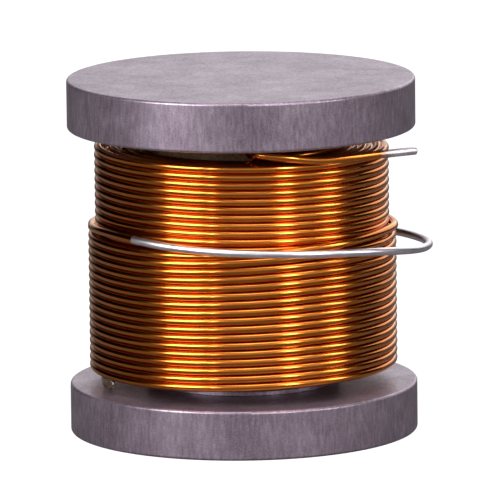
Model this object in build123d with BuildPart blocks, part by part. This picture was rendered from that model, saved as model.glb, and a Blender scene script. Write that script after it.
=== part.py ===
"""Drum-core inductor: two pressed-iron discs glued on a rod, wound with enamelled copper wire.

Units are millimetres. +Z is the axis of the drum, and the origin is the centre of the
bottom disc's lower face, on which the part stands. The front is -Y.
"""

import os
from math import cos, radians, sin, sqrt

from build123d import *

# Core: a rod with a disc glued on each end
disc_diameter = 45.0
disc_thickness = 6.4
disc_edge_break = 0.35
overall_height = 46.0
rod_diameter = 24.6
glue_film = 0.1
wrap_thickness = 0.24
wrap_end_gap = 0.6

# Wire and winding
wire_diameter = 1.05
turn_gap = 0.005
full_layers = 7
outer_turns = 17
lowest_turn_gap = 1.725
least_top_gap = 1.4
enamel_fill = 0.32

# Start lead: leaves the first layer through the gap under the top disc, falls a little past the
# coil's edge and straightens at an elbow just before its tinned end
start_exit_angle = 274.0
start_clearance = 0.12
start_bend_angle = 279.0
start_crest_angle = 289.0
start_crest_drop = 0.5
start_shoulder_angle = 300.0
shoulder_clearance = 0.2
start_direction = 31.0
start_fall = 0.45
start_elbow_run = 8.5
start_enamel_run = 0.5
start_tinned_run = 5.5
start_radii = [0.9, 1.4, 6.0, 6.0, 6.0]

# Last turn: climbs off the outer layer and goes once round the back
last_turn_lift = 1.15
climb_start_angle = 296.0
climb_end_angle = 352.0
climb_middle_share = 0.75

# Finish lead: springs away from the coil at the left and is carried round the front;
# each point has its angle, its stand-off from the outer layer and its drop below the last turn
leave_angle = 180.0
enamel_end_angle = 222.0
enamel_end_off = 0.42
enamel_end_drop = 0.08
front_angle = 272.0
front_off = 1.68
front_drop = 0.35
side_angle = 350.0
side_off = 4.58
side_drop = 2.3
back_angle = 68.0
back_off = 3.18
back_drop = 3.2
finish_straight = 6.0

# Glue that squeezed out between the discs and the winding's ends
dab_width = 1.6
dab_inset = 0.15
dab_start_angle = 186.0
dab_sweep = 22.0
dab_corner = 0.4

# Derived sizes
disc_radius = disc_diameter / 2
rod_radius = rod_diameter / 2
wire_radius = wire_diameter / 2
turn_pitch = wire_diameter + turn_gap
layer_step = sqrt(wire_diameter**2 - (turn_pitch / 2) ** 2)
window_bottom = disc_thickness
window_top = overall_height - disc_thickness
bore_radius = rod_radius + wrap_thickness
first_layer_radius = bore_radius + wire_radius
inner_layer_radius = first_layer_radius + (full_layers - 1) * layer_step
outer_layer_radius = inner_layer_radius + layer_step
lowest_turn = window_bottom + lowest_turn_gap + wire_radius
highest_turn = window_top - least_top_gap - wire_radius - turn_pitch / 2
turns_per_layer = int((highest_turn - lowest_turn) / turn_pitch) + 1


def layer_turns(layer, count):
    """Centres of a layer's turns, as (radius, height); each layer nests half a pitch off the next."""
    radius = first_layer_radius + layer * layer_step
    bottom = lowest_turn + ((full_layers - layer) % 2) * turn_pitch / 2
    return [(radius, bottom + turn * turn_pitch) for turn in range(count)]


def around(radius, angle, height):
    """The point at this radius, angle in degrees and height."""
    return Vector(radius * cos(radians(angle)), radius * sin(radians(angle)), height)


full = [layer_turns(layer, turns_per_layer) for layer in range(full_layers)]
outer = layer_turns(full_layers, outer_turns)
coil_bottom = lowest_turn - wire_radius
coil_top = max(layer[-1][1] for layer in full) + wire_radius
outer_layer_top = outer[-1][1]
last_turn_height = outer_layer_top + last_turn_lift


# Core rod, between the two glue films
with BuildPart() as core_rod:
    with BuildSketch(Plane.XY.offset(window_bottom + glue_film)):
        Circle(rod_radius)
    extrude(amount=window_top - window_bottom - 2 * glue_film)


def end_disc(bottom):
    """A ground disc standing on this height, with its two rims lightly broken."""
    with BuildPart() as disc:
        with BuildSketch(Plane.XY.offset(bottom)):
            Circle(disc_radius)
        extrude(amount=disc_thickness)
        fillet(disc.edges().filter_by(GeomType.CIRCLE), radius=disc_edge_break)
    return disc


bottom_disc = end_disc(0)
top_disc = end_disc(window_top)


def rod_glue(bottom):
    """The film of glue between one end of the rod and its disc."""
    with BuildPart() as film:
        with BuildSketch(Plane.XY.offset(bottom)):
            Circle(rod_radius)
        extrude(amount=glue_film)
    return film


lower_joint_glue = rod_glue(window_bottom)
upper_joint_glue = rod_glue(window_top - glue_film)

# Insulating paper wrapped round the rod, under the first layer
with BuildPart() as core_wrap:
    with BuildSketch(Plane.XY.offset(window_bottom + wrap_end_gap)):
        Circle(bore_radius)
        Circle(rod_radius, mode=Mode.SUBTRACT)
    extrude(amount=window_top - window_bottom - 2 * wrap_end_gap)


# Route of the start lead: up out of the first layer, out under the disc, over the coil's edge
start_height = coil_top + start_clearance + wire_radius
start_shoulder = around(
    inner_layer_radius + wire_diameter + shoulder_clearance,
    start_shoulder_angle,
    coil_top - wire_radius + start_fall,
)
start_step = Vector(cos(radians(start_direction)), sin(radians(start_direction)), 0)
start_elbow = start_shoulder + start_step * start_elbow_run - Vector(0, 0, start_fall)
start_joint = start_elbow + start_step * start_enamel_run
start_tip = start_joint + start_step * start_tinned_run

with BuildLine() as start_enamel_path:
    FilletPolyline(
        around(first_layer_radius, start_exit_angle, full[0][-1][1]),
        around(first_layer_radius, start_exit_angle, start_height),
        around(inner_layer_radius + wire_radius, start_bend_angle, start_height),
        around(
            inner_layer_radius + wire_diameter,
            start_crest_angle,
            start_height - start_crest_drop,
        ),
        start_shoulder,
        start_elbow,
        start_joint,
        radius=start_radii,
    )

with BuildLine() as start_tinned_path:
    Line(start_joint, start_tip)

# Route of the last turn and the finish lead: a climb on the right, level round the back to the
# left, then arcs that run into each other and a straight end
def lead_point(angle, off, drop):
    """A point of the finish lead, stood off from the outer layer and below the last turn."""
    return around(outer_layer_radius + off, angle, last_turn_height - drop)


climb_start = around(outer_layer_radius, climb_start_angle, outer_layer_top)
climb_middle = around(
    outer_layer_radius,
    (climb_start_angle + climb_end_angle) / 2,
    outer_layer_top + climb_middle_share * last_turn_lift,
)
climb_top = around(outer_layer_radius, climb_end_angle, last_turn_height)
leave_point = around(outer_layer_radius, leave_angle, last_turn_height)
enamel_end = lead_point(enamel_end_angle, enamel_end_off, enamel_end_drop)
front_point = lead_point(front_angle, front_off, front_drop)
side_point = lead_point(side_angle, side_off, side_drop)
back_point = lead_point(back_angle, back_off, back_drop)

with BuildLine() as finish_enamel_path:
    climb = ThreePointArc(climb_start, climb_middle, climb_top)
    round_back = TangentArc(climb @ 1, leave_point, tangent=climb % 1)
    from_coil = TangentArc(round_back @ 1, enamel_end, tangent=round_back % 1)

with BuildLine() as finish_tinned_path:
    to_front = TangentArc(enamel_end, front_point, tangent=from_coil % 1)
    to_side = TangentArc(to_front @ 1, side_point, tangent=to_front % 1)
    to_back = TangentArc(to_side @ 1, back_point, tangent=to_side % 1)
    Line(to_back @ 1, to_back @ 1 + (to_back % 1) * finish_straight)


def wire_along(path):
    """Round wire swept along a path."""
    with BuildPart() as wire:
        with BuildSketch(Plane(origin=path.line @ 0, z_dir=path.line % 0)):
            Circle(wire_radius)
        sweep(path=path.line)
    return wire


start_enamel = wire_along(start_enamel_path)
finish_enamel = wire_along(finish_enamel_path)

# Winding: every turn of the coil as one body of revolution, with the enamelled lead stretches
with BuildPart() as winding:
    with BuildSketch(Plane.XZ):
        with BuildLine():
            Polyline(
                (bore_radius, coil_bottom + enamel_fill),
                (outer_layer_radius + enamel_fill, coil_bottom + enamel_fill),
                (outer_layer_radius + enamel_fill, outer_layer_top),
                (inner_layer_radius + enamel_fill, outer_layer_top + wire_radius),
                (inner_layer_radius + enamel_fill, full[-2][-1][1] + enamel_fill),
                (bore_radius, full[-2][-1][1] + enamel_fill),
                close=True,
            )
        make_face()
        with Locations(*outer, *full[-1]):
            Circle(wire_radius)
        with Locations(*[layer[end] for layer in full[:-1] for end in (0, -1)]):
            Circle(wire_radius)
    revolve(axis=Axis.Z)
    add(finish_enamel.part)
    add(start_enamel.part)

# Tinned ends of the two leads
start_lead = wire_along(start_tinned_path)
finish_lead = wire_along(finish_tinned_path)


def glue_dab(bottom, top, outside):
    """A dab of glue squeezed between a disc and the end of the winding."""
    with BuildPart() as dab:
        with BuildSketch(Plane.XZ.rotated((0, 0, dab_start_angle))):
            with Locations((outside - dab_width / 2, (bottom + top) / 2)):
                RectangleRounded(dab_width, top - bottom, dab_corner)
        revolve(axis=Axis.Z, revolution_arc=dab_sweep)
    return dab


lower_glue_dab = glue_dab(window_bottom, coil_bottom, outer_layer_radius - dab_inset)
upper_glue_dab = glue_dab(coil_top, window_top, inner_layer_radius - dab_inset)


pieces = {
    "bottom_disc": bottom_disc,
    "top_disc": top_disc,
    "core_rod": core_rod,
    "lower_joint_glue": lower_joint_glue,
    "upper_joint_glue": upper_joint_glue,
    "core_wrap": core_wrap,
    "winding": winding,
    "start_lead": start_lead,
    "finish_lead": finish_lead,
    "lower_glue_dab": lower_glue_dab,
    "upper_glue_dab": upper_glue_dab,
}

os.makedirs("parts", exist_ok=True)
for name, piece in pieces.items():
    piece.part.label = name
    export_step(piece.part, f"parts/{name}.step")
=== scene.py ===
"""Looks of a drum-core inductor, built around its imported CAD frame.

The two pressed-iron discs, the coil of enamelled copper wire with its two tinned leads and
the dabs of clear glue are finished here. Lengths are in metres, and a size whose name ends
in _mm is in millimetres and is multiplied by MM.
"""

import logging
import math
from dataclasses import dataclass, field
from enum import Enum
from typing import Any, Iterable, Optional, Sequence

import bmesh
import bpy
from mathutils import Matrix, Vector, noise

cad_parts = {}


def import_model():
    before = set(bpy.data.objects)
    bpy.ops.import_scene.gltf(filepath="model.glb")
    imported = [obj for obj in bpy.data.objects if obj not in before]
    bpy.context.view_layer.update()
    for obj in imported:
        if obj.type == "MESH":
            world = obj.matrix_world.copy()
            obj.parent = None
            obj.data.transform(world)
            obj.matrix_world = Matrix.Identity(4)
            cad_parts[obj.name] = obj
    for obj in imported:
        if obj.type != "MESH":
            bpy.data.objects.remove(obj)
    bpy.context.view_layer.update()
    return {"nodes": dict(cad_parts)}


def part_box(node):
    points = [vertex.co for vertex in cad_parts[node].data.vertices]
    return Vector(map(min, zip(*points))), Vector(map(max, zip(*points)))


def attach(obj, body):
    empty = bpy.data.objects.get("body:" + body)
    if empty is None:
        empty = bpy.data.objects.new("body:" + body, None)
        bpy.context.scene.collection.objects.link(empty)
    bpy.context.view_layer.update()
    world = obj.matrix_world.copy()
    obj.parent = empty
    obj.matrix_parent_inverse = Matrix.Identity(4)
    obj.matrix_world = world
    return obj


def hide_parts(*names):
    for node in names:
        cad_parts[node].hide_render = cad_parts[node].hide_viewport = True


MM = 0.001
TAU = 2 * math.pi
LOG = logging.getLogger("inductor")

Point = tuple[float, float, float]
Colour = tuple[float, float, float, float]


# ---------------------------------------------------------------- shared helpers


def linear(hex_colour: str, alpha: float = 1.0) -> Colour:
    """Turns an sRGB hex colour to linear light.

    Args:
        hex_colour: six hex digits, with or without a leading hash.
        alpha: opacity, from 0 to 1.

    Returns:
        The linear red, green, blue and alpha.
    """
    digits = hex_colour.lstrip("#")
    parts = [int(digits[i : i + 2], 16) / 255 for i in (0, 2, 4)]
    light = [c / 12.92 if c <= 0.04045 else ((c + 0.055) / 1.055) ** 2.4 for c in parts]
    return (light[0], light[1], light[2], alpha)


def grey(level: float) -> Colour:
    """The neutral colour of this brightness."""
    return (level, level, level, 1.0)


def add_node(
    tree: bpy.types.NodeTree,
    kind: str,
    inputs: Optional[dict[Any, Any]] = None,
    **settings: Any,
) -> bpy.types.Node:
    """Adds a node with its settings and links.

    Args:
        tree: the node tree to add to.
        kind: Blender's node type name.
        inputs: input socket name or number, to a value or to the socket that feeds it.
        settings: attributes of the node itself.

    Returns:
        The new node.
    """
    node = tree.nodes.new(kind)
    for name, value in settings.items():
        setattr(node, name, value)
    for name, value in (inputs or {}).items():
        if isinstance(value, bpy.types.NodeSocket):
            tree.links.new(value, node.inputs[name])
        else:
            node.inputs[name].default_value = value
    return node


def colour_ramp(
    tree: bpy.types.NodeTree,
    factor: bpy.types.NodeSocket,
    stops: Sequence[tuple[float, Colour]],
) -> bpy.types.NodeSocket:
    """A colour ramp with these stops.

    Args:
        tree: the node tree to add to.
        factor: the socket that drives the ramp.
        stops: places from 0 to 1, each with its colour.

    Returns:
        The ramp's colour socket.
    """
    ramp = add_node(tree, "ShaderNodeValToRGB", {"Fac": factor})
    elements = ramp.color_ramp.elements
    while len(elements) < len(stops):
        elements.new(0.5)
    for element, (place, colour) in zip(elements, stops):
        element.position = place
        element.color = colour
    return ramp.outputs["Color"]


def new_material(name: str) -> tuple[bpy.types.Material, bpy.types.NodeTree, bpy.types.Node]:
    """A material with an empty Principled shader.

    Args:
        name: the material's name.

    Returns:
        The material, its node tree and its Principled node.
    """
    material = bpy.data.materials.new(name)
    material.use_nodes = True
    tree = material.node_tree
    tree.nodes.clear()
    shader = add_node(tree, "ShaderNodeBsdfPrincipled")
    add_node(tree, "ShaderNodeOutputMaterial", {"Surface": shader.outputs["BSDF"]})
    return material, tree, shader


def mesh_object(name: str, mesh: bpy.types.Mesh, material: bpy.types.Material) -> bpy.types.Object:
    """Puts a finished mesh into the scene as a smooth-shaded object at the origin.

    Args:
        name: the piece's name.
        mesh: its mesh, already in place.
        material: its finish.

    Returns:
        The new object.
    """
    mesh.name = name
    mesh.materials.clear()
    mesh.materials.append(material)
    mesh.polygons.foreach_set("use_smooth", [True] * len(mesh.polygons))
    piece = bpy.data.objects.new(name, mesh)
    bpy.context.scene.collection.objects.link(piece)
    return piece


def around(radius: float, angle: float, height: float) -> Vector:
    """The point at this radius, angle in degrees and height."""
    turn = math.radians(angle)
    return Vector((radius * math.cos(turn), radius * math.sin(turn), height))


def between(low: float, high: float, share: float) -> float:
    """The value at this share of the way from low to high, eased at both ends."""
    share = min(1.0, max(0.0, share))
    return low + (high - low) * share * share * (3 - 2 * share)


# ---------------------------------------------------------------- finishes


@dataclass(frozen=True)
class PressedIron:
    """Pressed and sintered iron powder, ground flat and turned on its rim.

    It is a dull lilac grey, a little metallic, with a fine salt-and-pepper grain. The rim
    carries faint upright marks from the grinding wheel and soft cloudy patches.
    """

    name: str = "pressed_iron_ground"
    dark: str = "#6d5e69"
    mid: str = "#998898"
    light: str = "#c5b6c6"
    grain_mm: float = 0.16
    mark_mm: float = 0.40
    cloud_mm: float = 4.0

    def build(self) -> bpy.types.Material:
        """Makes the material."""
        material, tree, shader = new_material(self.name)
        place = add_node(tree, "ShaderNodeTexCoord").outputs["Object"]
        grain = add_node(
            tree,
            "ShaderNodeTexNoise",
            {"Vector": place, "Scale": 1 / (self.grain_mm * MM), "Detail": 3.0, "Roughness": 0.7},
        ).outputs["Fac"]
        cloud = add_node(
            tree,
            "ShaderNodeTexNoise",
            {"Vector": place, "Scale": 1 / (self.cloud_mm * MM), "Detail": 4.0, "Roughness": 0.6},
        ).outputs["Fac"]
        # Upright marks on the rim: fine across, long up and down
        squashed = add_node(
            tree, "ShaderNodeMapping", {"Vector": place, "Scale": (1.0, 1.0, 0.22)}
        ).outputs["Vector"]
        marks = add_node(
            tree,
            "ShaderNodeTexNoise",
            {"Vector": squashed, "Scale": 1 / (self.mark_mm * MM), "Detail": 4.0},
        ).outputs["Fac"]
        rough_tone = add_node(
            tree, "ShaderNodeMath", {0: cloud, 1: 0.35}, operation="MULTIPLY"
        ).outputs[0]
        mark_tone = add_node(
            tree, "ShaderNodeMath", {0: marks, 1: 0.40, 2: rough_tone}, operation="MULTIPLY_ADD"
        ).outputs[0]
        tone = add_node(
            tree, "ShaderNodeMath", {0: grain, 1: 0.50, 2: mark_tone}, operation="MULTIPLY_ADD"
        ).outputs[0]
        stops = [(0.42, linear(self.dark)), (0.62, linear(self.mid)), (0.84, linear(self.light))]
        tree.links.new(colour_ramp(tree, tone, stops), shader.inputs["Base Color"])
        roughness = add_node(
            tree,
            "ShaderNodeMapRange",
            {"Value": tone, "From Min": 0.4, "From Max": 0.85, "To Min": 0.42, "To Max": 0.30},
        ).outputs["Result"]
        tree.links.new(roughness, shader.inputs["Roughness"])
        bump = add_node(
            tree, "ShaderNodeBump", {"Height": tone, "Strength": 0.35, "Distance": 0.03 * MM}
        ).outputs["Normal"]
        tree.links.new(bump, shader.inputs["Normal"])
        shader.inputs["Metallic"].default_value = 0.75
        return material


@dataclass(frozen=True)
class WireEnamel:
    """Clear amber polyurethane enamel over bright drawn copper.

    The copper gives warm orange glints that darken to deep red between the turns, and the
    enamel lays a hard white highlight over them.
    """

    name: str = "enamelled_copper_wire"
    thin: str = "#dd8f32"
    deep: str = "#cc7522"
    roughness: float = 0.17
    drawing_mm: float = 0.12
    drift_mm: float = 9.0

    def build(self) -> bpy.types.Material:
        """Makes the material."""
        material, tree, shader = new_material(self.name)
        run = add_node(tree, "ShaderNodeAttribute", attribute_name="wire_run").outputs["Vector"]
        # Enamel that is a little thicker here and there along the wire
        drift = add_node(
            tree,
            "ShaderNodeTexNoise",
            {"Vector": run, "Scale": 1 / self.drift_mm, "Detail": 3.0, "Roughness": 0.6},
        ).outputs["Fac"]
        stops = [(0.3, linear(self.deep)), (0.7, linear(self.thin))]
        tree.links.new(colour_ramp(tree, drift, stops), shader.inputs["Base Color"])
        # Drawing lines: long along the wire, fine round it
        stretched = add_node(
            tree, "ShaderNodeMapping", {"Vector": run, "Scale": (0.04, 1.0, 1.0)}
        ).outputs["Vector"]
        lines = add_node(
            tree,
            "ShaderNodeTexNoise",
            {"Vector": stretched, "Scale": 1 / self.drawing_mm, "Detail": 2.0},
        ).outputs["Fac"]
        roughness = add_node(
            tree,
            "ShaderNodeMapRange",
            {
                "Value": lines,
                "To Min": self.roughness - 0.06,
                "To Max": self.roughness + 0.06,
            },
        ).outputs["Result"]
        tree.links.new(roughness, shader.inputs["Roughness"])
        bump = add_node(
            tree, "ShaderNodeBump", {"Height": lines, "Strength": 0.12, "Distance": 0.01 * MM}
        ).outputs["Normal"]
        tree.links.new(bump, shader.inputs["Normal"])
        shader.inputs["Metallic"].default_value = 1.0
        shader.inputs["Coat Weight"].default_value = 0.35
        shader.inputs["Coat Roughness"].default_value = 0.05
        shader.inputs["Coat IOR"].default_value = 1.55
        shader.inputs["Coat Tint"].default_value = linear("#ffd9a8")
        return material


@dataclass(frozen=True)
class SolderTin:
    """Copper wire scraped bare and dipped in solder.

    A soft silver with a lilac cast, slightly lumpy where the solder froze, so its glints
    are long and a little broken.
    """

    name: str = "solder_tinned_wire"
    pale: str = "#f6f0f6"
    dull: str = "#d9d0d9"
    copper: str = "#c4703c"
    copper_mm: float = 2.6
    lump_mm: float = 1.6

    def build(self) -> bpy.types.Material:
        """Makes the material."""
        material, tree, shader = new_material(self.name)
        run = add_node(tree, "ShaderNodeAttribute", attribute_name="wire_run").outputs["Vector"]
        stretched = add_node(
            tree, "ShaderNodeMapping", {"Vector": run, "Scale": (0.35, 1.0, 1.0)}
        ).outputs["Vector"]
        lumps = add_node(
            tree,
            "ShaderNodeTexNoise",
            {"Vector": stretched, "Scale": 1 / self.lump_mm, "Detail": 4.0, "Roughness": 0.65},
        ).outputs["Fac"]
        stops = [(0.35, linear(self.dull)), (0.65, linear(self.pale))]
        solder = colour_ramp(tree, lumps, stops)
        # Where the dip ended, a little copper tints the solder in a ragged edge
        along = add_node(tree, "ShaderNodeSeparateXYZ", {"Vector": run}).outputs["X"]
        ragged = add_node(
            tree, "ShaderNodeMath", {0: lumps, 1: 2.4, 2: along}, operation="MULTIPLY_ADD"
        ).outputs[0]
        cover = add_node(
            tree,
            "ShaderNodeMapRange",
            {"Value": ragged, "From Min": 1.2, "From Max": self.copper_mm + 1.2},
        ).outputs["Result"]
        mixed = add_node(
            tree,
            "ShaderNodeMix",
            {"Factor": cover, "A": linear(self.copper), "B": solder},
            data_type="RGBA",
        ).outputs["Result"]
        tree.links.new(mixed, shader.inputs["Base Color"])
        roughness = add_node(
            tree, "ShaderNodeMapRange", {"Value": lumps, "To Min": 0.2, "To Max": 0.42}
        ).outputs["Result"]
        tree.links.new(roughness, shader.inputs["Roughness"])
        bump = add_node(
            tree, "ShaderNodeBump", {"Height": lumps, "Strength": 0.3, "Distance": 0.04 * MM}
        ).outputs["Normal"]
        tree.links.new(bump, shader.inputs["Normal"])
        shader.inputs["Metallic"].default_value = 1.0
        return material


@dataclass(frozen=True)
class InsulatingPaper:
    """Varnished insulating paper with short fibres in it. Its straw brown is darkened as painted
    shade for the narrow gaps where it shows.
    """

    name: str = "varnished_paper"
    straw: str = "#7a5c38"
    brown: str = "#553d22"
    fibre_mm: float = 0.5

    def build(self) -> bpy.types.Material:
        """Makes the material."""
        material, tree, shader = new_material(self.name)
        place = add_node(tree, "ShaderNodeTexCoord").outputs["Object"]
        fibres = add_node(
            tree,
            "ShaderNodeTexNoise",
            {"Vector": place, "Scale": 1 / (self.fibre_mm * MM), "Detail": 5.0},
        ).outputs["Fac"]
        # Painted shade: both browns are kept dark so the paper reads as shaded in the gaps between
        # the coil and the discs
        stops = [(0.35, linear(self.brown)), (0.65, linear(self.straw))]
        tree.links.new(colour_ramp(tree, fibres, stops), shader.inputs["Base Color"])
        bump = add_node(
            tree, "ShaderNodeBump", {"Height": fibres, "Strength": 0.3, "Distance": 0.05 * MM}
        ).outputs["Normal"]
        tree.links.new(bump, shader.inputs["Normal"])
        shader.inputs["Roughness"].default_value = 0.7
        return material


@dataclass(frozen=True)
class ClearGlue:
    """Clear epoxy that has yellowed a little: glossy, with small bubbles and dust in it."""

    name: str = "clear_epoxy"
    clear: str = "#d9cbb4"
    cloudy: str = "#a8926c"
    bubble_mm: float = 0.4

    def build(self) -> bpy.types.Material:
        """Makes the material."""
        material, tree, shader = new_material(self.name)
        place = add_node(tree, "ShaderNodeTexCoord").outputs["Object"]
        cloud = add_node(
            tree,
            "ShaderNodeTexNoise",
            {"Vector": place, "Scale": 1 / (self.bubble_mm * MM), "Detail": 3.0},
        ).outputs["Fac"]
        stops = [(0.4, linear(self.cloudy)), (0.6, linear(self.clear))]
        tree.links.new(colour_ramp(tree, cloud, stops), shader.inputs["Base Color"])
        bump = add_node(
            tree, "ShaderNodeBump", {"Height": cloud, "Strength": 0.2, "Distance": 0.05 * MM}
        ).outputs["Normal"]
        tree.links.new(bump, shader.inputs["Normal"])
        shader.inputs["Roughness"].default_value = 0.12
        shader.inputs["IOR"].default_value = 1.55
        shader.inputs["Transmission Weight"].default_value = 0.9
        return material


# ---------------------------------------------------------------- the wire


@dataclass
class Route:
    """A stretch of the wire: the points of its centre line, in order."""

    points: list[Vector] = field(default_factory=list)

    def extend(self, points: Iterable[Vector]) -> None:
        """Adds points at the end."""
        self.points.extend(points)


@dataclass
class RoundWire:
    """Draws a stretch of round wire along a route."""

    radius: float
    sides: int = 16
    trim_share: float = 0.2

    def mesh(self, route: Sequence[Vector], cut_end: bool = False) -> bpy.types.Mesh:
        """Makes the wire's mesh, with a run and girth in millimetres on each vertex.

        Args:
            route: the points of the centre line.
            cut_end: whether the far end is cut off and has a broken edge.

        Returns:
            The tube, with a flat cap of its own at each end.
        """
        curve = bpy.data.curves.new("wire_route", "CURVE")
        curve.dimensions = "3D"
        curve.twist_mode = "Z_UP"
        curve.bevel_depth = self.radius
        curve.bevel_resolution = self.sides // 2 - 2
        curve.use_fill_caps = True
        spline = curve.splines.new("POLY")
        points = list(route)
        radii = [1.0] * len(points)
        if cut_end:
            points, radii = self.trimmed(points)
        spline.points.add(len(points) - 1)
        for target, place, size in zip(spline.points, points, radii):
            target.co = (*place, 1.0)
            target.radius = size
        holder = bpy.data.objects.new("wire_route", curve)
        mesh = bpy.data.meshes.new_from_object(holder)
        bpy.data.objects.remove(holder)
        bpy.data.curves.remove(curve)
        self.mark_run(mesh, points)
        return mesh

    def trimmed(self, points: Sequence[Vector]) -> tuple[list[Vector], list[float]]:
        """Ends a route as cutters leave it, with the edge a little broken.

        Args:
            points: the centre line.

        Returns:
            The points with the broken edge's own, and the wire's relative radius at each.
        """
        trim = self.radius * self.trim_share
        along = (points[-1] - points[-2]).normalized()
        line = list(points[:-1]) + [points[-1] - along * trim, points[-1].copy()]
        radii = [1.0] * (len(line) - 1) + [1.0 - self.trim_share]
        return line, radii

    def mark_run(self, mesh: bpy.types.Mesh, points: Sequence[Vector]) -> None:
        """Stores a place along and round the wire for each vertex, counted from the first.

        The caps' vertices come before the tube's, so the run is two points ahead of its true
        place. On a route of few points the place round the wire creeps as well.

        Args:
            mesh: the wire's mesh, which gains the wire_run attribute.
            points: the centre line that it was made from.
        """
        ring = len(mesh.vertices) // len(points)
        marks: list[float] = []
        run = 0.0
        for number, place in enumerate(points):
            if number:
                run += (place - points[number - 1]).length / MM
            for side in range(ring):
                turn = TAU * side / ring
                girth = self.radius / MM
                marks += [run, math.cos(turn) * girth, math.sin(turn) * girth]
        marks += [0.0] * (3 * len(mesh.vertices) - len(marks))
        attribute = mesh.attributes.new("wire_run", "FLOAT_VECTOR", "POINT")
        attribute.data.foreach_set("vector", marks)


class Climb(Enum):
    """Which way a layer is wound along the rod, the wire always turning the same way round."""

    UP = 1
    DOWN = -1


class Stray(Enum):
    """Which of the wire's small errors is meant: each reads its own stretch of noise."""

    FULL_OUT = 3.0
    FULL_UP = 7.0
    OUTER_OUT = 11.0
    OUTER_UP = 17.0


@dataclass(frozen=True)
class Knot:
    """A point that a free stretch of wire passes, by angle in degrees and millimetres."""

    angle: float
    radius: float
    height: float

    def place(self) -> Vector:
        """The knot's point in metres."""
        return around(self.radius * MM, self.angle, self.height * MM)


def through(knots: Sequence[Vector], step: float) -> list[Vector]:
    """A smooth line through the knots.

    Args:
        knots: the points to pass; the first and last only set the direction there.
        step: the distance between the line's points, in metres.

    Returns:
        The line's points, from the second knot to the last but one.
    """
    line: list[Vector] = []
    for before, start, end, after in zip(knots, knots[1:], knots[2:], knots[3:]):
        count = max(2, round((end - start).length / step))
        for number in range(count):
            t = number / count
            pull = (end - before) * 0.5
            push = (after - start) * 0.5
            line.append(
                start * (2 * t**3 - 3 * t**2 + 1)
                + end * (3 * t**2 - 2 * t**3)
                + pull * (t**3 - 2 * t**2 + t)
                + push * (t**3 - t**2)
            )
    line.append(knots[-2].copy())
    return line


@dataclass
class Coil:
    """The coil: full layers of wire on the rod and a part layer over their lower end.

    The wire always turns the same way round, so each layer climbs the way that the next one
    comes back. Layers are spaced as if each turn lay in the groove under it, so two layers
    cut slightly into each other where their wires cross.
    """

    wire_mm: float = 1.05
    full_layers: int = 7
    turns: int = 28
    inner_steps: int = 60
    outer_steps: int = 112
    pitch_mm: float = 1.05
    left_mark: float = 224.0
    right_mark: float = 308.0
    left_lay_mm: float = 1.058
    right_lay_mm: float = 1.088
    right_rise_mm: float = 0.42
    outer_turns: int = 16
    lead_in_turns: float = 0.4
    first_lift_mm: float = 0.06
    first_layer_start: float = 276.0
    crossing: float = 60.0
    wander_mm: float = 0.022
    wander_rate: float = 2.3
    wander_drift: float = 0.31

    def __post_init__(self) -> None:
        """Takes the coil's ends and outer radius from the frame."""
        low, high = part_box("winding")
        self.wire = self.wire_mm * MM
        self.outside = -low[0] - self.wire / 2
        self.bottom = low[2] + self.wire / 2
        self.step = math.sqrt(self.wire**2 - (self.pitch_mm * MM / 2) ** 2)
        self.top = self.bottom + (self.turns - 0.5) * self.pitch_mm * MM

    def radius(self, layer: int) -> float:
        """The centre line's radius in this layer, counted from the rod."""
        return self.outside - (self.full_layers - layer) * self.step

    def wander(self, turn: float, stray: Stray) -> float:
        """How far the wire strays from its true place at this turn, in metres."""
        spot = (turn * self.wander_rate, turn * self.wander_drift, stray.value)
        return self.wander_mm * MM * noise.noise(spot)

    def full_layer(self, layer: int, steps: int) -> list[Vector]:
        """The centre line of one full layer.

        Args:
            layer: the layer's number, counted from the rod.
            steps: points to a turn.

        Returns:
            The layer's points, in winding order.
        """
        climb = Climb.DOWN if layer % 2 == 0 else Climb.UP
        half = self.pitch_mm * MM / 2 if (self.full_layers - layer) % 2 else 0.0
        low = self.bottom + half
        high = low + (self.turns - 1) * self.pitch_mm * MM
        start, end = (low, high) if climb is Climb.UP else (high, low)
        count = steps * (self.turns - 1)
        line = []
        for number in range(count + 1):
            share = number / count
            turn = layer * self.turns + share * (self.turns - 1)
            line.append(
                around(
                    self.radius(layer) + self.wander(turn, Stray.FULL_OUT),
                    self.start_angle(layer) + 360 * share * (self.turns - 1),
                    start + (end - start) * share + self.wander(turn, Stray.FULL_UP),
                )
            )
        return line

    def start_angle(self, layer: int) -> float:
        """The angle at which a layer starts, in degrees; the crossings lie at the back."""
        return self.first_layer_start if layer == 0 else self.crossing

    def outer_height(self, turn: float) -> float:
        """The height of the outer layer's centre line, in metres.

        Args:
            turn: turns wound since the left mark, with a fraction.

        Returns:
            The height. Each turn climbs mostly across the front, between the two marks.
        """
        whole = math.floor(turn)
        share = turn - whole
        front = (self.right_mark - self.left_mark) / 360
        left = self.bottom / MM + self.first_lift_mm + whole * self.left_lay_mm
        right = left + self.right_rise_mm + whole * (self.right_lay_mm - self.left_lay_mm)
        if share < front:
            return between(left, right, share / front) * MM
        return between(right, left + self.left_lay_mm, (share - front) / (1 - front)) * MM

    def outer_layer(self) -> list[Vector]:
        """The centre line of the outer layer, up to where the last turn starts to lift."""
        start = -self.lead_in_turns
        lowest = self.bottom + self.first_lift_mm * MM
        count = round((self.outer_turns - start) * self.outer_steps)
        line = []
        for number in range(count + 1):
            turn = start + (self.outer_turns - start) * number / count
            height = self.outer_height(turn) if turn >= 0 else lowest
            line.append(
                around(
                    self.outside + self.wander(turn, Stray.OUTER_OUT),
                    self.left_mark + 360 * turn,
                    height + self.wander(turn, Stray.OUTER_UP),
                )
            )
        return line


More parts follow.
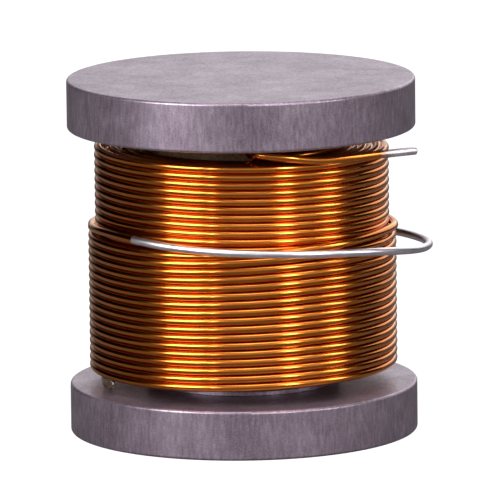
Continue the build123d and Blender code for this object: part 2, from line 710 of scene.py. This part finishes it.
@dataclass
class LastTurn:
    """The last turn, which lifts off the layer at the front right and goes round the back."""

    knots: tuple[Knot, ...] = (
        Knot(200.0, 19.42, 25.58),
        Knot(224.0, 19.42, 25.64),
        Knot(250.0, 19.42, 25.78),
        Knot(280.0, 19.43, 26.12),
        Knot(308.0, 19.44, 26.50),
        Knot(335.0, 19.44, 26.76),
        Knot(360.0, 19.44, 26.88),
        Knot(405.0, 19.43, 26.87),
        Knot(450.0, 19.43, 26.84),
        Knot(495.0, 19.42, 26.78),
        Knot(525.0, 19.42, 26.72),
        Knot(540.0, 19.42, 26.8),
        Knot(553.0, 19.5, 27.1),
        Knot(568.0, 19.72, 27.4),
        Knot(586.0, 20.0, 27.3),
        Knot(602.0, 20.3, 26.98),
    )

    def line(self, step: float) -> list[Vector]:
        """The centre line, from the outer layer's end to where the enamel stops."""
        return through([knot.place() for knot in self.knots], step)


@dataclass
class FinishLead:
    """The tinned wire that is carried round the front, clear of the coil."""

    knots: tuple[Knot, ...] = (
        Knot(568.0, 19.72, 27.4),
        Knot(586.0, 20.0, 27.3),
        Knot(602.0, 20.3, 26.98),
        Knot(618.0, 20.65, 26.7),
        Knot(636.0, 21.2, 26.42),
        Knot(654.0, 21.9, 26.15),
        Knot(672.0, 22.6, 25.78),
        Knot(688.0, 23.3, 25.15),
        Knot(702.0, 23.85, 24.5),
        Knot(716.0, 24.1, 24.05),
        Knot(732.0, 24.15, 23.6),
        Knot(750.0, 23.95, 23.35),
        Knot(768.0, 23.3, 23.35),
        Knot(784.0, 22.45, 23.45),
        Knot(790.0, 22.1, 23.5),
    )
    straight_mm: float = 6.0
    straight_points: int = 12

    def line(self, step: float) -> list[Vector]:
        """The centre line, from the end of the enamel to the straight end."""
        line = through([knot.place() for knot in self.knots], step)
        bend = line[-1].copy()
        reach = (bend - line[-2]).normalized() * self.straight_mm * MM
        count = self.straight_points
        line.extend([bend + reach * number / count for number in range(1, count + 1)])
        return line


@dataclass
class StartLead:
    """The wire's start, which comes out over the top turns and runs off to the right."""

    enamel: tuple[Knot, ...] = (
        Knot(282.0, 13.06, 37.5),
        Knot(276.0, 13.06, 37.7),
        Knot(273.6, 13.3, 38.5),
        Knot(273.9, 14.4, 38.83),
        Knot(275.0, 16.6, 38.84),
        Knot(276.6, 18.6, 38.8),
        Knot(280.6, 19.35, 38.66),
        Knot(289.0, 19.62, 38.28),
        Knot(300.0, 19.82, 37.74),
        Knot(311.0, 20.25, 37.66),
    )
    joint_mm: Point = (17.596, -12.479, 37.6625)
    tip_mm: Point = (22.31, -9.647, 37.6625)
    tinned_points: int = 14

    def enamel_line(self, step: float) -> list[Vector]:
        """The centre line of the enamelled stretch."""
        joint = Vector(self.joint_mm) * MM
        tip = Vector(self.tip_mm) * MM
        return through([knot.place() for knot in self.enamel] + [joint, tip], step)

    def tinned_line(self) -> list[Vector]:
        """The centre line of the tinned end."""
        joint = Vector(self.joint_mm) * MM
        tip = Vector(self.tip_mm) * MM
        count = self.tinned_points
        return [joint.lerp(tip, number / count) for number in range(count + 1)]


@dataclass
class WireWork:
    """Everything made of the one wire: its coil and its two leads."""

    coil: Coil
    last_turn: LastTurn
    finish: FinishLead
    start: StartLead
    tin_radius_mm: float = 0.52
    fine_step_mm: float = 0.9
    start_step_mm: float = 0.3
    coarse_sides: int = 8
    fine_sides: int = 16

    def build(self, enamel: bpy.types.Material, tin: bpy.types.Material) -> None:
        """Makes and places every piece of the wire.

        Args:
            enamel: the finish of the enamelled wire.
            tin: the finish of the tinned ends.
        """
        step = self.fine_step_mm * MM
        coarse = RoundWire(self.coil.wire / 2, sides=self.coarse_sides)
        fine = RoundWire(self.coil.wire / 2, sides=self.fine_sides)
        plated = RoundWire(self.tin_radius_mm * MM, sides=self.fine_sides)
        last_full = self.coil.full_layers - 1

        inner = Route()
        for layer in range(last_full):
            inner.extend(self.coil.full_layer(layer, self.coil.inner_steps))
        self.place("inner_layers", coarse.mesh(inner.points), enamel, "winding", "enamelled_wire")

        upper = self.coil.full_layer(last_full, self.coil.outer_steps)
        self.place("upper_layer", fine.mesh(upper), enamel, "winding", "enamelled_wire")

        outer = Route()
        outer.extend(self.coil.outer_layer()[:-1])
        outer.extend(self.last_turn.line(step))
        self.place("outer_layer", fine.mesh(outer.points), enamel, "winding", "enamelled_wire")

        route = self.start.enamel_line(self.start_step_mm * MM)
        self.place("start_wire", fine.mesh(route), enamel, "winding", "enamelled_wire")

        route = self.start.tinned_line()
        mesh = plated.mesh(route, cut_end=True)
        self.place("start_tinned_end", mesh, tin, "start_lead", "tinned_wire")

        route = self.finish.line(step)
        mesh = plated.mesh(route, cut_end=True)
        self.place("finish_tinned_end", mesh, tin, "finish_lead", "tinned_wire")

    def place(
        self,
        name: str,
        mesh: bpy.types.Mesh,
        finish: bpy.types.Material,
        node: str,
        slot: str,
    ) -> None:
        """Puts one stretch of wire into the scene in place of its CAD node."""
        piece = mesh_object(name, mesh, finish)
        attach(piece, "root")
        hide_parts(node)
        LOG.info("%s: %d faces", name, len(mesh.polygons))


# ---------------------------------------------------------------- core and glue


@dataclass
class Core:
    """The rod, its paper, its two discs and the glue that joins them."""

    iron_nodes: tuple[str, ...] = ("bottom_disc", "top_disc", "core_rod")
    glue_nodes: tuple[str, ...] = ("lower_joint_glue", "upper_joint_glue")

    def dress(
        self,
        nodes: dict[str, bpy.types.Object],
        iron: bpy.types.Material,
        paper: bpy.types.Material,
        glue: bpy.types.Material,
    ) -> None:
        """Gives the CAD nodes of the core their finishes.

        Args:
            nodes: the frame's objects by node name.
            iron: the finish of the discs and the rod.
            paper: the finish of the wrap.
            glue: the finish of the joints.
        """
        finishes = {name: iron for name in self.iron_nodes}
        finishes |= {name: glue for name in self.glue_nodes}
        finishes["core_wrap"] = paper
        for name, finish in finishes.items():
            for material_slot in nodes[name].material_slots:
                material_slot.material = finish
            LOG.info("%s: finished in %s", name, finish.name)


@dataclass
class GlueDab:
    """A dab of glue squeezed out between a disc and the end of the coil."""

    node: str
    seed: float
    width_mm: float = 1.3
    sweep: float = 15.0
    inset_share: float = 0.6
    height_share: float = 0.55
    lump_share: float = 0.14
    lump_rate: float = 1.7

    def build(self, glue: bpy.types.Material) -> None:
        """Makes the dab in place of its CAD node.

        Args:
            glue: the finish.
        """
        low, high = (Vector(corner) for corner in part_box(self.node))
        middle = (low + high) / 2
        angle = math.atan2(middle.y, middle.x)
        reach = -low.x - self.width_mm * MM * self.inset_share
        shape = bmesh.new()
        bmesh.ops.create_icosphere(shape, subdivisions=4, radius=1.0)
        depth = high.z - low.z
        for vertex in shape.verts:
            spot = vertex.co * self.lump_rate + Vector((self.seed, 0, 0))
            lump = 1 + self.lump_share * noise.noise(spot)
            along, across, up = vertex.co * lump
            turn = angle + math.radians(along * self.sweep / 2)
            radius = reach + across * self.width_mm * MM / 2
            height = middle.z + up * depth * self.height_share
            height = min(high.z, max(low.z, height))
            vertex.co = (radius * math.cos(turn), radius * math.sin(turn), height)
        bmesh.ops.recalc_face_normals(shape, faces=shape.faces[:])
        mesh = bpy.data.meshes.new(self.node)
        shape.to_mesh(mesh)
        shape.free()
        piece = mesh_object(f"{self.node}_bead", mesh, glue)
        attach(piece, "root")
        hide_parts(self.node)
        LOG.info("%s: %d faces", piece.name, len(mesh.polygons))


# ---------------------------------------------------------------- studio


@dataclass(frozen=True)
class SoftLamp:
    """A soft box that stands round the part, its angle counted from the front to the right."""

    name: str
    angle: float
    elevation: float
    distance: float
    width: float
    height: float
    watts: float
    tint: str = "#ffffff"

    def build(self, target: Vector) -> None:
        """Makes the lamp, aimed at the target."""
        lamp = bpy.data.lights.new(self.name, "AREA")
        lamp.shape = "RECTANGLE"
        lamp.size = self.width
        lamp.size_y = self.height
        lamp.energy = self.watts
        lamp.color = linear(self.tint)[:3]
        stand = bpy.data.objects.new(self.name, lamp)
        lean = math.radians(self.elevation)
        turn = math.radians(self.angle)
        flat = math.cos(lean)
        out = Vector((flat * math.sin(turn), -flat * math.cos(turn), math.sin(lean)))
        stand.location = target + out * self.distance
        stand.rotation_euler = out.to_track_quat("Z", "Y").to_euler()
        stand.visible_camera = False
        bpy.context.scene.collection.objects.link(stand)


@dataclass
class Studio:
    """A plain pale floor and background, soft lamps and the camera.

    The walls and heights say how bright the surroundings are in reflections: each pair is a
    bearing in degrees from the front, or a rise from level, with its brightness.
    """

    elevation: float = 9.948
    distance: float = 1.04334
    lens_mm: float = 580.64
    sensor_mm: float = 36.0
    clip_end: float = 20.0
    roll: float = -0.6435
    shift: tuple[float, float] = (0.01491, 0.00503)
    floor_size: float = 3.0
    ambient: float = 0.03
    walls: tuple[tuple[float, float], ...] = (
        (-180, 1.0),
        (-168, 0.45),
        (-152, 0.0),
        (-76, 0.0),
        (-64, 0.58),
        (80, 0.62),
        (90, 0.10),
        (100, 0.0),
        (128, 0.02),
        (150, 0.45),
        (180, 1.0),
    )
    heights: tuple[tuple[float, float], ...] = ((0.0, 1.0), (0.72, 1.0), (0.88, 0.25))
    lamps: tuple[SoftLamp, ...] = (
        SoftLamp("key_left", -47.0, 24.0, 0.70, 0.34, 0.50, 4.0),
        SoftLamp("strip_left", -24.0, 22.0, 0.80, 0.05, 0.46, 0.6),
        SoftLamp("front_right", 36.0, 24.0, 0.80, 0.14, 0.50, 1.9),
        SoftLamp("side_right", 76.0, 24.0, 0.75, 0.16, 0.50, 1.3),
        SoftLamp("overhead", 35.0, 78.0, 0.70, 0.60, 0.60, 3.4),
        SoftLamp("back_right", 150.0, 26.0, 1.00, 0.80, 0.60, 1.6),
    )

    def build(self) -> None:
        """Makes the whole studio."""
        low, high = (Vector(corner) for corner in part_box("top_disc"))
        target = Vector((0, 0, high.z / 2))
        self.camera(target)
        for lamp in self.lamps:
            lamp.build(target)
        self.floor()
        self.world()
        bpy.context.scene.view_settings.view_transform = "Standard"

    def camera(self, target: Vector) -> None:
        """Makes the camera and aims it at the target."""
        lens = bpy.data.cameras.new("camera")
        lens.lens = self.lens_mm
        lens.sensor_width = self.sensor_mm
        lens.shift_x, lens.shift_y = self.shift
        lens.clip_end = self.clip_end
        stand = bpy.data.objects.new("camera", lens)
        lean = math.radians(self.elevation)
        out = Vector((0, -math.cos(lean), math.sin(lean)))
        stand.location = target + out * self.distance
        aim = out.to_track_quat("Z", "Y").to_matrix()
        stand.rotation_euler = (aim @ Matrix.Rotation(math.radians(self.roll), 3, "Z")).to_euler()
        bpy.context.scene.collection.objects.link(stand)
        bpy.context.scene.camera = stand

    def floor(self) -> None:
        """Makes the floor, which shows white and keeps the part's shadow."""
        shape = bmesh.new()
        bmesh.ops.create_grid(shape, x_segments=8, y_segments=8, size=self.floor_size)
        mesh = bpy.data.meshes.new("floor")
        shape.to_mesh(mesh)
        shape.free()
        material = bpy.data.materials.new("white_sweep")
        material.use_nodes = True
        tree = material.node_tree
        tree.nodes.clear()
        path = add_node(tree, "ShaderNodeLightPath")
        seen = path.outputs["Is Camera Ray"]
        paper = add_node(tree, "ShaderNodeBsdfDiffuse", {"Color": linear("#707070")})
        glow = add_node(tree, "ShaderNodeEmission", {"Color": linear("#ffffff"), "Strength": 0.96})
        dark = add_node(tree, "ShaderNodeEmission", {"Color": linear("#000000"), "Strength": 0.0})
        lit = add_node(
            tree,
            "ShaderNodeMixShader",
            {0: seen, 1: dark.outputs[0], 2: glow.outputs[0]},
        )
        total = add_node(tree, "ShaderNodeAddShader", {0: paper.outputs[0], 1: lit.outputs[0]})
        add_node(tree, "ShaderNodeOutputMaterial", {"Surface": total.outputs[0]})
        floor = mesh_object("floor", mesh, material)

    def world(self) -> None:
        """Makes the surroundings: white to the camera, and bright and dark walls elsewhere."""
        world = bpy.data.worlds.new("studio")
        world.use_nodes = True
        tree = world.node_tree
        tree.nodes.clear()
        path = add_node(tree, "ShaderNodeLightPath")
        direction = add_node(tree, "ShaderNodeTexCoord").outputs["Generated"]
        parts = add_node(tree, "ShaderNodeSeparateXYZ", {"Vector": direction}).outputs
        towards = add_node(
            tree, "ShaderNodeMath", {0: parts["Y"], 1: -1.0}, operation="MULTIPLY"
        ).outputs[0]
        angle = add_node(
            tree, "ShaderNodeMath", {0: parts["X"], 1: towards}, operation="ARCTAN2"
        ).outputs[0]
        bearing = add_node(
            tree, "ShaderNodeMath", {0: angle, 1: 1 / TAU, 2: 0.5}, operation="MULTIPLY_ADD"
        ).outputs[0]
        round_it = colour_ramp(
            tree, bearing, [(turn / 360 + 0.5, grey(level)) for turn, level in self.walls]
        )
        upright = colour_ramp(
            tree, parts["Z"], [(rise, grey(level)) for rise, level in self.heights]
        )
        walls = add_node(
            tree, "ShaderNodeMath", {0: round_it, 1: upright}, operation="MULTIPLY"
        ).outputs[0]
        glossy = add_node(
            tree,
            "ShaderNodeMath",
            {0: path.outputs["Is Glossy Ray"], 1: path.outputs["Is Transmission Ray"]},
            operation="MAXIMUM",
        ).outputs[0]
        soft = add_node(
            tree, "ShaderNodeMix", {"Factor": glossy, "A": self.ambient, "B": walls}
        ).outputs["Result"]
        strength = add_node(
            tree,
            "ShaderNodeMix",
            {"Factor": path.outputs["Is Camera Ray"], "A": soft, "B": 1.0},
        ).outputs["Result"]
        glow = add_node(
            tree, "ShaderNodeBackground", {"Color": linear("#ffffff"), "Strength": strength}
        )
        add_node(tree, "ShaderNodeOutputWorld", {"Surface": glow.outputs[0]})
        bpy.context.scene.world = world


def main() -> None:
    """Builds the studio and every piece."""
    logging.basicConfig(level=logging.INFO, format="%(name)s: %(message)s")
    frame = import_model()
    iron = PressedIron().build()
    enamel = WireEnamel().build()
    tin = SolderTin().build()
    glue = ClearGlue().build()
    Studio().build()
    WireWork(Coil(), LastTurn(), FinishLead(), StartLead()).build(enamel, tin)
    Core().dress(frame["nodes"], iron, InsulatingPaper().build(), glue)
    GlueDab("lower_glue_dab", seed=2.0).build(glue)
    GlueDab("upper_glue_dab", seed=5.0).build(glue)


if __name__ == "__main__":
    main()
